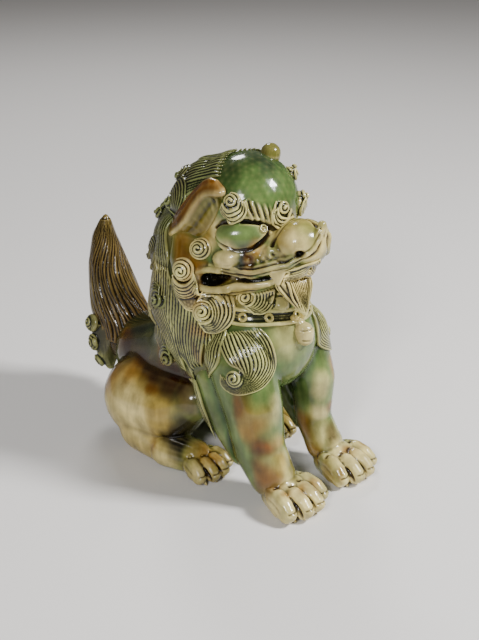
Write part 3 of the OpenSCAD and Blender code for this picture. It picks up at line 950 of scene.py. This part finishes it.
def tail_tuft(side, flip):
    ropes, pads = [], []
    bm = bmesh.new()
    lump(bm, [(side * -8, 92, 50, 7.5), (side * -12, 101, 52, 5.5), (side * -13, 95, 36, 5.5),
              (side * -12, 93, 27, 2.5)])
    base = melt("tuft_pad", bm, PAD_GRAIN, 4)
    tree = tree_of([base])
    for at, to, turns, arcs, rise in (((-18, 102, 54), (-14, 92, 54), 1.6, 2.4, 2.5),
                                      ((-18, 100, 42), (-18, 92, 46), 1.6, 2.2, 2.5),
                                      ((-16, 97, 31), (-16, 92, 36), 1.4, 1.6, 2)):
        p, t = flip([at, to])
        curl(ropes, pads, tree, p, t, hand=side, turns=turns, arcs=arcs, drift=0.5, rise=rise)
    comb(ropes, tree, flip([(-10, 108, 50), (-12, 104, 38), (-12, 97, 26)]),
         flip([(-2, 106, 46), (-4, 100, 36), (-10, 96, 26)]))
    bm = bmesh.new()
    bm.from_mesh(base.data)
    bpy.data.objects.remove(base)
    return lock(("right" if side > 0 else "left") + "_tail_curls", ropes, pads, extra=bm)


right_tuft = tail_tuft(1, lambda p: p)
left_tuft = tail_tuft(-1, over_body)

# %% [markdown]
# ## Glaze
# Three glazes were brushed on in patches and ran into each other in the kiln. The patches belong to
# places on the figure, so they are painted into each mesh from one list of soft spots; the near-black
# DARK spots among them are painted shade in creases and in the open mouth. The glaze thins over every
# ridge and pools in every groove, and a painted highlight and painted shade are added there too; all
# of that comes from the surface's own curvature.

# %% Glaze spots
# Each spot: middle, radius, colour, strength
SPOTS = [
    ((0, 0, 70), 400, LEAF, 1.0),
    ((0, 55, 60), 42, MOSS, 0.9), ((-40, 42, 22), 36, STRAW, 1.0), ((-46, 44, 16), 20, CREAM, 0.6),
    ((-36, 66, 46), 10, BROWN, 0.9), ((-37, -18, 45), 9, GREEN, 0.9), ((-33, -28, 30), 9, GREEN, 0.9),
    # the DARK spots on this line and the next are painted shade: under the far thigh above the hind paw, and
    # under the belly between the legs
    ((40, 42, 22), 36, STRAW, 1.0), ((34, 50, 52), 16, BROWN, 0.9), ((36, 8, 26), 12, DARK, 0.9),
    ((30, -2, 6), 16, STRAW, 0.9), ((-30, -2, 6), 16, STRAW, 0.9), ((0, 10, 40), 18, DARK, 0.6),
    ((-24, -60, 6), 25, CREAM, 0.95), ((22, -60, 6), 24, CREAM, 0.95),
    ((38, -18, 45), 12, GREEN, 0.8), ((0, 90, 50), 24, BROWN, 0.8), ((0, 104, 90), 20, MOSS, 0.6),
    ((-20, 42, 100), 34, MOSS, 0.9), ((20, 42, 100), 34, MOSS, 0.9), ((-33, 8, 84), 9, GREEN, 0.7),
    ((-32.5, 0, 84), 6, AMBER, 0.9), ((-32.5, -2, 74), 5, AMBER, 0.8), ((-29, 5, 104), 7, OCHRE, 0.8),
    ((-34, -14, 78), 8, GREEN, 0.6), ((-33, -28, 78), 6, INK, 0.5), ((-16, 26, 152), 10, MOSS, 0.8),
    ((-20, 70, 54), 9, AMBER, 0.9), ((-17, 63, 63), 12, MOSS, 0.9), ((-26, 46, 57), 7, GREEN, 0.8),
    ((-28, 33, 58), 7, AMBER, 0.8), ((-28, 23, 53), 8, BROWN, 0.9), ((-29, 12, 51), 7, BROWN, 0.9),
    ((-44, 53, 32), 15, CREAM, 0.8), ((-44, 38, 28), 15, CREAM, 0.75), ((-25, 66, 50), 12, BROWN, 0.95),
    ((-29, 49, 53), 12, BROWN, 0.95), ((-31, 36, 51), 11, BROWN, 0.95), ((-31, 23, 49), 10, BROWN, 0.95),
    ((-32, 10, 47), 9, BROWN, 0.9), ((-38, 63, 41), 9, OCHRE, 0.7), ((-36, 49, 46), 10, OCHRE, 0.7),
    ((-37, 32, 44), 6, AMBER, 0.7), ((-40, 22, 39), 9, STRAW, 0.6), ((-37, 11, 40), 6, OLIVE, 0.6),
    # the DARK spots here are painted shade in the crease under the near thigh, above the hind paw
    ((-41, 22, 28), 8, STRAW, 0.7), ((-36, 17, 23), 7, BROWN, 0.9), ((-34, 10, 29), 9, DARK, 0.95),
    ((-34, 14, 18), 8, DARK, 0.9), ((-38, 13, 20), 8, DARK, 0.9), ((-33, 5, 24), 8, DARK, 0.9),
    ((-32, -8, 40), 9, GREEN, 0.8), ((-28, -18, 26), 8, GREEN, 0.8),
    ((-42, 28, 16), 6, AMBER, 0.55), ((-43, 19, 9), 9, CREAM, 0.8),
    ((-29, -2, 11), 7, OCHRE, 0.7), ((-17, -2, 10), 7, BROWN, 0.6), ((-40, -4, 9), 7, CREAM, 0.8),
    ((10, 24, 18), 6, LEAF, 0.8), ((-23, -39, 66), 9, LEAF, 0.8), ((-37, -32, 58), 6, AMBER, 0.85),
    ((-36, -37, 49), 8, OCHRE, 0.7), ((-24, -44, 53), 6, CREAM, 0.6), ((-31, -43, 49), 7, OCHRE, 0.6),
    ((-35, -37, 41), 6, OCHRE, 0.7), ((-24, -46, 38), 6, STRAW, 0.8), ((-32, -42, 34), 8, AMBER, 1),
    ((-33, -42, 30), 5, BROWN, 0.6), ((-26, -48, 26), 6, STRAW, 0.7), ((-32, -41, 13), 7, BROWN, 0.85),
    ((-30, -47, 18), 6, AMBER, 0.8), ((-18, -50, 18), 6, OLIVE, 0.8),
    ((-34, -50, 4), 11, CREAM, 0.9), ((-34, -43, 20), 7, AMBER, 0.8),
    ((-32, -57, 12), 5, OCHRE, 0.8), ((-22, -60, 10), 5, OCHRE, 0.7), ((-12, -60, 10), 5, AMBER, 0.6),
    ((-26, -64, 10), 3.5, AMBER, 0.6), ((-17, -67, 9), 3.5, AMBER, 0.5), ((10, -32, 47), 10, GREEN, 0.9),
    ((15, -37, 62), 9, LEAF, 0.9), ((27, -38, 58), 6, OCHRE, 0.8), ((16, -40, 50), 6, CREAM, 0.6),
    ((12, -27, 35), 5, BROWN, 0.6), ((15, -40, 35), 7, CREAM, 0.85), ((11, -34, 27), 7, AMBER, 0.85),
    ((23, -41, 37), 5, AMBER, 0.85), ((11, -37, 14), 8, OCHRE, 0.85), ((14, -42, 23), 5, CREAM, 0.6),
    ((18, -47, 21), 6, BROWN, 0.75), ((22, -56, 13), 5, AMBER, 0.7), ((34, -58, 11), 5, AMBER, 0.7),
    ((14, -54, 13), 6, CREAM, 0.6), ((7, -52, 8), 7, STRAW, 0.8), ((7, -62, 9), 4, AMBER, 0.6),
    ((-10, -37, 86), 10, CREAM, 0.45), ((21, -37, 67), 7, GREEN, 0.6), ((-15, -36, 80), 7, GREEN, 0.5),
    ((8, -38, 67), 7, OLIVE, 0.6),
]
HEAD_SPOTS = [
    ((1, -3, 22), 32, GREEN, 1.0), ((14, -12, 22), 12, LEAF, 0.5), ((0, -34, -12), 16, STRAW, 0.9),
    ((0, -30, -32), 16, STRAW, 0.8), ((18, -4, -36), 14, STRAW, 0.8), ((-18, -4, -36), 14, STRAW, 0.8),
    ((22, -10, -20), 10, CREAM, 0.9), ((-27, 20, -14), 12, OLIVE, 0.95),
    ((-27, 17, -10), 7, OCHRE, 0.7), ((-28, 18, -20), 8, AMBER, 0.6),
    ((-27, 16, -26), 8, OCHRE, 0.8), ((-27, 15, -33), 7, AMBER, 0.6),
    ((-19, -8, 21), 8, GREEN, 0.8), ((-15, -8, 25), 9, MOSS, 0.5), ((-17, -17, 18), 7, LEAF, 0.5),
    ((-17, -21, 10), 9, LEAF, 0.9), ((-7, -22, 21), 7, INK, 0.35), ((-5, -27, 14), 7, LEAF, 0.6),
    ((-5, -15, 28), 8, INK, 0.35), ((-14, -24, 8), 6, LEAF, 0.6), ((-18, -20, 0), 8, CREAM, 0.3),
    ((-24, 3, -6), 7, STRAW, 0.8), ((-23, 8, -9), 5, AMBER, 0.5), ((-23, -1, -5), 5, CREAM, 0.7),
    ((-22, 3, -12), 5, CREAM, 0.7), ((-22, -16, -9), 9, LEAF, 0.95), ((-25, -10, -7), 6, GREEN, 0.5),
    ((-16, -22, -8), 5, LEAF, 0.8), ((-19, -19, -12), 4, GREEN, 0.6), ((-25, -6, -14), 4, CREAM, 0.6),
    ((-23, -9, -17), 4, INK, 0.5), ((-25, -6, -19), 7, CREAM, 1), ((-21, -15, -19), 5, INK, 0.85),
    ((-20, -12, -25), 5, INK, 0.85), ((-20, -18, -16), 4, INK, 0.5), ((-23, 9, -23), 5, AMBER, 0.9),
    ((-26, 13, -26), 6, OCHRE, 0.9), ((-25, 14, -33), 5, AMBER, 0.7), ((-19, -21, -20), 5, OCHRE, 0.9),
    ((-20, -17, -24), 4.5, AMBER, 0.7), ((-16, -25, -22), 4, CREAM, 0.9), ((-16, -21, -14), 6, INK, 0.3),
    ((-12, -24, -11), 6, CREAM, 0.7), ((-13, -34, -13), 9, STRAW, 0.9),
    ((-11, -39, -12), 8, CREAM, 0.85), ((-4, -40, -9), 6, LEAF, 0.5), ((-9, -44, -17), 5, LEAF, 0.4),
    ((-14, -33, -21), 5, CREAM, 0.8), ((-13, -35, -23), 3, AMBER, 0.6), ((-20, -15, -29), 4, AMBER, 0.6),
    ((-21, -23, -27), 4, AMBER, 0.55), ((-14, -30, -28), 6, CREAM, 0.8), ((-4, -41, -23), 7, CREAM, 0.8),
    ((2, -47, -13), 8, CREAM, 0.9), ((-23, 3, -35), 6, STRAW, 0.9), ((-22, -6, -35), 6, OLIVE, 0.7),
    ((-21, -16, -34), 6, STRAW, 0.8), ((-19, -20, -33), 5, OCHRE, 0.8), ((-14, -26, -32), 5, CREAM, 0.8),
    ((-25, 15, -30), 4.5, CREAM, 0.8), ((-24, 9, -25), 3.5, CREAM, 0.6), ((-24, 8, -36), 4.5, CREAM, 0.6),
    # painted shade: two near-black spots inside the open mouth
    ((-18, 5, -30), 4, DARK, 0.95), ((-18, -3, -30), 3.5, DARK, 0.9),
]


def glaze_at(p):
    """The glaze colour at points given in millimetres."""
    rng = np.random.default_rng(7)
    warp = np.zeros_like(p)
    for scale in (9.0, 5.0, 2.6):
        for _ in range(3):
            d = rng.normal(size=3)
            d /= np.linalg.norm(d)
            swell = np.sin(p @ d / scale * 2 + rng.uniform(0, 6.28))[:, None]
            warp += swell * rng.normal(size=3) * scale * 0.12
    q = p + warp
    colour = np.zeros((len(p), 3))
    world = [(np.array(c, float), r, k, w) for c, r, k, w in SPOTS]
    world += [(from_head(c)[0], r, k, w) for c, r, k, w in HEAD_SPOTS]
    for c, r, k, w in world:
        d = q - c
        d[:, 2] *= 0.85
        t = np.clip(1.25 - np.linalg.norm(d, axis=1) / r, 0, 1)
        t = (w * t * t * (3 - 2 * t))[:, None]
        colour = colour * (1 - t) + np.array(k) * t
    return colour


# %% [markdown]
# ## Pale on ridges, dark in grooves: glaze, painted highlight and painted shade
# Melted glaze runs off every ridge and gathers in every groove, and the colour adds painted shade
# in the grooves and a painted highlight on the ridges. How far a point stands above or below its
# neighbours tells which is which, so that height steers the colour of each point.

# %% Ridges and grooves
def relief(me, spread=2):
    """Below zero on ridges and above zero in grooves, in units of one cell."""
    co, no = points(me), normals(me)
    e = np.empty(len(me.edges) * 2, np.int64)
    me.edges.foreach_get("vertices", e)
    e = e.reshape(-1, 2)
    a, b = np.concatenate([e[:, 0], e[:, 1]]), np.concatenate([e[:, 1], e[:, 0]])
    count = np.bincount(a, minlength=len(co)).clip(1)

    def around(values):
        return np.bincount(a, weights=values[b], minlength=len(co)) / count

    lap = np.stack([around(co[:, i]) for i in range(3)], 1) - co
    h = (lap * no).sum(1)
    for _ in range(spread):
        h = 0.5 * h + 0.5 * around(h)
    size = np.linalg.norm(co[e[:, 0]] - co[e[:, 1]], axis=1).mean()
    return h / size


def paint(obj, hair=0.0, tint=None, tint_by=1.0, cuts=None, pale=0.9):
    """Lays the colour on one mesh: glaze patches first, then pale over ridges (thin glaze plus a painted
    highlight) and dark in grooves (pooled glaze plus painted shade).
    """
    me = obj.data
    co = points(me)
    h = relief(me)
    colour = glaze_at(co)
    if tint is not None:
        colour = colour * (1 - tint_by) + np.array(tint) * tint_by
    # grooves are darkened (pooled glaze plus painted shade), ridges are lightened (thin glaze plus a painted
    # highlight)
    pooled_glaze_and_shade = np.clip(h / 0.10, 0, 1)[:, None]
    thin_glaze_and_highlight = np.clip(-h / 0.12, 0, 1)[:, None]
    light = np.array(CREAM) * 0.9 + colour * 0.1
    dark = np.array(DARK) * 0.7 + colour * 0.12
    # hair: near-black in the grooves (pooled glaze plus painted shade), cream only on the crests (thin glaze
    # plus a painted highlight)
    if hair:
        shade = np.clip(0.24 - h / 0.07, 0, 1)[:, None]
        shade = shade * shade * (3 - 2 * shade)
        top = np.array(CREAM) * pale + colour * (0.9 - 0.5 * pale)
        colour = dark + (top * hair + colour * (1 - hair) - dark) * shade
    else:
        colour = colour + (light - colour) * thin_glaze_and_highlight * 0.6
        colour = colour + (dark - colour) * pooled_glaze_and_shade * 0.85
    # raised marks are painted pale (pale glaze plus a painted highlight; on the ears only a painted highlight
    # along the rim), deep cuts near-black (pooled glaze plus painted shade)
    if cuts is not None:
        colour = colour + (light - colour) * np.clip(cuts / 1.6, 0, 1)[:, None] * 0.7
        deep = np.clip(-cuts / 1.5 - 0.1, 0, 1)[:, None]
        line = np.array(BROWN) * 1.6 * (1 - deep) + np.array(DARK) * deep
        colour = colour + (line - colour) * np.minimum(deep * 1.6, 1) * 0.92
    grey = colour @ np.array([0.25, 0.65, 0.10])
    colour = np.clip(grey[:, None] + 1.1 * (colour - grey[:, None]), 0.002, 1) ** 1.22 * 0.9
    layer = me.color_attributes.new("glaze", "FLOAT_COLOR", "POINT")
    layer.data.foreach_set("color", np.hstack([colour, np.ones((len(co), 1))]).astype(np.float32).ravel())


# %% [markdown]
# ## Glaze material
# One shader serves the whole figure, because it was glazed and fired as one. The painted colour is
# broken up by a cloudy noise and by long vertical runs, a thin coat gives the gloss, and a faint
# bump stops the reflections from looking like plastic.

# %% Glaze material
def glaze_material(name):
    mat = bpy.data.materials.new(name)
    mat.use_nodes = True
    nt = mat.node_tree
    N, L = nt.nodes.new, nt.links.new
    shader = nt.nodes["Principled BSDF"]
    place = N("ShaderNodeTexCoord")
    ink = N("ShaderNodeVertexColor")
    ink.layer_name = "glaze"
    cloud = N("ShaderNodeTexNoise")
    cloud.inputs["Scale"].default_value = 120
    cloud.inputs["Detail"].default_value = 5
    L(place.outputs["Object"], cloud.inputs["Vector"])
    runs_map = N("ShaderNodeMapping")
    runs_map.inputs["Scale"].default_value = (260, 260, 45)
    L(place.outputs["Object"], runs_map.inputs["Vector"])
    runs = N("ShaderNodeTexNoise")
    runs.inputs["Scale"].default_value = 1
    runs.inputs["Detail"].default_value = 4
    L(runs_map.outputs["Vector"], runs.inputs["Vector"])
    tone = N("ShaderNodeMapRange")
    tone.inputs["From Min"].default_value, tone.inputs["From Max"].default_value = 0.3, 0.7
    tone.inputs["To Min"].default_value, tone.inputs["To Max"].default_value = 0.72, 1.3
    L(cloud.outputs["Fac"], tone.inputs["Value"])
    tone2 = N("ShaderNodeMapRange")
    tone2.inputs["From Min"].default_value, tone2.inputs["From Max"].default_value = 0.3, 0.7
    tone2.inputs["To Min"].default_value, tone2.inputs["To Max"].default_value = 0.8, 1.2
    L(runs.outputs["Fac"], tone2.inputs["Value"])
    both = N("ShaderNodeMath")
    both.operation = "MULTIPLY"
    L(tone.outputs["Result"], both.inputs[0])
    L(tone2.outputs["Result"], both.inputs[1])
    mul = N("ShaderNodeVectorMath")
    mul.operation = "SCALE"
    L(ink.outputs["Color"], mul.inputs[0])
    L(both.outputs["Value"], mul.inputs["Scale"])
    L(mul.outputs["Vector"], shader.inputs["Base Color"])
    fine = N("ShaderNodeTexNoise")
    fine.inputs["Scale"].default_value = 420
    fine.inputs["Detail"].default_value = 3
    L(place.outputs["Object"], fine.inputs["Vector"])
    rough = N("ShaderNodeMapRange")
    rough.inputs["To Min"].default_value, rough.inputs["To Max"].default_value = 0.1, 0.26
    L(fine.outputs["Fac"], rough.inputs["Value"])
    L(rough.outputs["Result"], shader.inputs["Roughness"])
    bump = N("ShaderNodeBump")
    bump.inputs["Strength"].default_value = 0.25
    bump.inputs["Distance"].default_value = 0.0004
    L(cloud.outputs["Fac"], bump.inputs["Height"])
    L(bump.outputs["Normal"], shader.inputs["Normal"])
    shader.inputs["IOR"].default_value = 1.5
    shader.inputs["Specular IOR Level"].default_value = 0.28
    shader.inputs["Coat Weight"].default_value = 0.3
    shader.inputs["Coat Roughness"].default_value = 0.05
    return mat


GLAZE = glaze_material("lead_glaze")


# %% [markdown]
# ## Into the frame
# The clay is modelled in millimetres round its own middle. Here every piece is painted, wiped flat
# at the soles, moved to its place in metres, and told which frame nodes it stands for.

# %% Place everything
def finish_piece(obj, *nodes, slot="green_glaze", hair=0.0, **kw):
    paint(obj, hair, **kw)
    co = points(obj.data)
    co[:, 2] = np.maximum(co[:, 2], 0)  # the soles are wiped flat
    put_points(obj.data, co)
    put_points(obj.data, (points(obj.data) + np.array(MIDDLE)) * MM)
    obj.data.materials.clear()
    obj.data.materials.append(GLAZE)
    obj.data.shade_smooth()
    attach(obj, "root")
    if nodes:
        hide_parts(*nodes)
    print(obj.name, len(obj.data.polygons) * 2, "triangles")


finish_piece(body, "torso_shell", "right_foreleg", "left_foreleg", "right_thigh", "left_thigh")
finish_piece(right_paw, "right_forepaw", slot="cream_glaze", cuts=right_paw_cuts)
finish_piece(left_paw, "left_forepaw", slot="cream_glaze", cuts=left_paw_cuts)
finish_piece(right_foot, "right_hind_foot", slot="cream_glaze", cuts=right_foot_cuts)
finish_piece(left_foot, "left_hind_foot", slot="cream_glaze", cuts=left_foot_cuts)
finish_piece(head, "skull", "muzzle", "nose", "upper_lip", "lower_jaw", "right_eye", "left_eye",
             cuts=marks)
finish_piece(mane, "nape_mane", "right_mane", "left_mane", slot="combed_hair_glaze", tint=MOSS, tint_by=0.7)
finish_piece(tail_plume, "tail_plume", slot="amber_glaze", hair=0.45, pale=0.3, tint=TAIL_AMBER,
             tint_by=0.75)
finish_piece(right_ear, "right_ear", slot="amber_glaze", **right_ear_glaze)
finish_piece(left_ear, "left_ear", slot="amber_glaze", **left_ear_glaze)
finish_piece(knob, "crown_knob", slot="olive_glaze", tint=OLIVE, tint_by=0.7)
finish_piece(pupils, "eye_pellets", slot="dark_glaze", tint=GREEN, tint_by=0.6)
finish_piece(fangs, "fangs", slot="cream_glaze", tint=CREAM, tint_by=0.85)
finish_piece(fore_claws, "forepaw_claws", slot="cream_glaze", tint=CREAM, tint_by=0.6)
finish_piece(rear_claws, "hind_claws", slot="cream_glaze", tint=CREAM, tint_by=0.6)
finish_piece(collar, "collar", slot="olive_glaze", hair=0.75)
finish_piece(studs, "collar_studs", slot="olive_glaze", tint=STRAW, tint_by=0.5)
finish_piece(bell, "bell", slot="cream_glaze", tint=CREAM, tint_by=0.85)
finish_piece(knot, "collar", slot="cream_glaze", tint=STRAW, tint_by=0.7)
for o, n, h in ((right_brow, "right_brow_curl", 0.9), (left_brow, "left_brow_curls", 0.9),
                (beard, "beard", 0.9), (chin_comb, "chin_curls", 0.9),
                (right_chin, "chin_curls", 0.85), (left_chin, "chin_curls", 0.85),
                (right_cheek, "right_cheek_curls", 0.9), (left_cheek, "left_cheek_curls", 0.9),
                (right_jowl, "jowl_curls", 0.9), (left_jowl, "jowl_curls", 0.9),
                (right_locks, "elbow_tufts", 0.7), (left_locks, "elbow_tufts", 0.7),
                (right_chest, "right_shoulder_lock", 0.8), (left_chest, "left_shoulder_lock", 0.8),
                (right_crown, "nape_curls", 0.6), (left_crown, "nape_curls", 0.6),
                (right_tuft, "right_tail_tuft", 0.5), (left_tuft, "left_tail_tuft", 0.5)):
    pale = 0.45 if "crown" in o.name else 0.66 if "lock" in o.name else 0.9
    finish_piece(o, n, slot="combed_hair_glaze", hair=h, pale=pale)

# %% [markdown]
# ## Studio
# A plain pale floor, a large soft key from the upper right, and a softer fill.

# %% Floor, lights and camera
floor_me = bpy.data.meshes.new("floor")
bm = bmesh.new()
bmesh.ops.create_grid(bm, x_segments=1, y_segments=1, size=1.5)
bm.to_mesh(floor_me)
bm.free()
floor = bpy.data.objects.new("floor", floor_me)
bpy.context.scene.collection.objects.link(floor)
mat = bpy.data.materials.new("pale_floor")
mat.use_nodes = True
mat.node_tree.nodes["Principled BSDF"].inputs["Base Color"].default_value = (0.7, 0.68, 0.66, 1)
mat.node_tree.nodes["Principled BSDF"].inputs["Roughness"].default_value = 0.6
floor_me.materials.append(mat)


def lamp(name, at, aim, power, size):
    data = bpy.data.lights.new(name, "AREA")
    data.energy, data.size = power, size
    obj = bpy.data.objects.new(name, data)
    bpy.context.scene.collection.objects.link(obj)
    obj.location = at
    obj.rotation_euler = (Vector(aim) - Vector(at)).to_track_quat("-Z", "Y").to_euler()


lamp("key", (0.4, -0.7, 0.8), (0, 0, 0.08), 21, 0.22)
lamp("fill", (-0.95, -0.45, 0.75), (0, 0, 0.08), 11, 0.22)
lamp("back", (0.55, 0.75, 0.9), (0, 0, 0.1), 5, 0.25)
world = bpy.data.worlds.new("studio")
world.use_nodes = True
world.node_tree.nodes["Background"].inputs["Color"].default_value = (0.6, 0.57, 0.54, 1)
world.node_tree.nodes["Background"].inputs["Strength"].default_value = 0.2
bpy.context.scene.world = world

AIM = Vector((-0.0025, -0.0215, 0.082))
TURN, PITCH, AWAY = math.radians(-48), math.radians(25), 0.570
eye = AIM + AWAY * Vector((math.sin(TURN) * math.cos(PITCH), -math.cos(TURN) * math.cos(PITCH),
                           math.sin(PITCH)))
cam = bpy.data.cameras.new("camera")
cam.lens = 1100 / 640 * 36
cam_obj = bpy.data.objects.new("camera", cam)
bpy.context.scene.collection.objects.link(cam_obj)
cam_obj.location = eye
cam_obj.rotation_euler = (AIM - eye).to_track_quat("-Z", "Y").to_euler()
bpy.context.scene.camera = cam_obj
